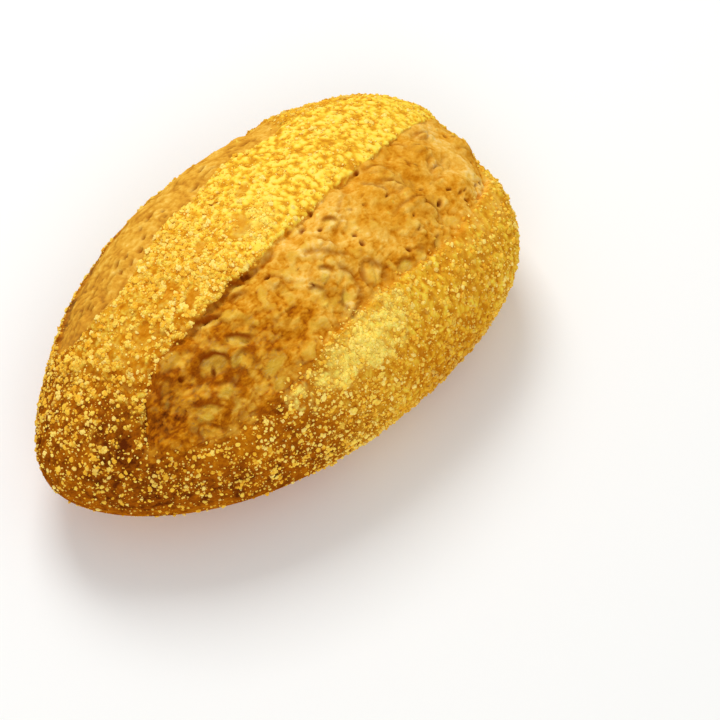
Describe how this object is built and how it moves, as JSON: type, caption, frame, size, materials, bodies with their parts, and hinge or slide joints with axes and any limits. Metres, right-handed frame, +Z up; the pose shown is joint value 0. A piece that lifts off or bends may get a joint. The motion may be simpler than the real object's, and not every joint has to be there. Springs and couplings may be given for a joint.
{
  "type": "loaf of cornmeal bread",
  "caption": "Uncut oval loaf rolled in coarse cornmeal, slashed lengthwise so that bare torn blooms open beside a meal-covered strip.",
  "frame": {"origin": "on the flat sole, under the middle of the loaf's box", "axes": "+X along the loaf to its blunt end, +Z up from the sole, -Y towards the flank below the wide bloom"},
  "size_m": [0.2424, 0.1472, 0.0916],
  "materials": {
    "crust": null,
    "cornmeal": "matt dry coarse-ground maize, for the loose meal that is added with the looks"
  },
  "bodies": {
    "root": {"loaf": "crust"}
  },
  "joints": []
}
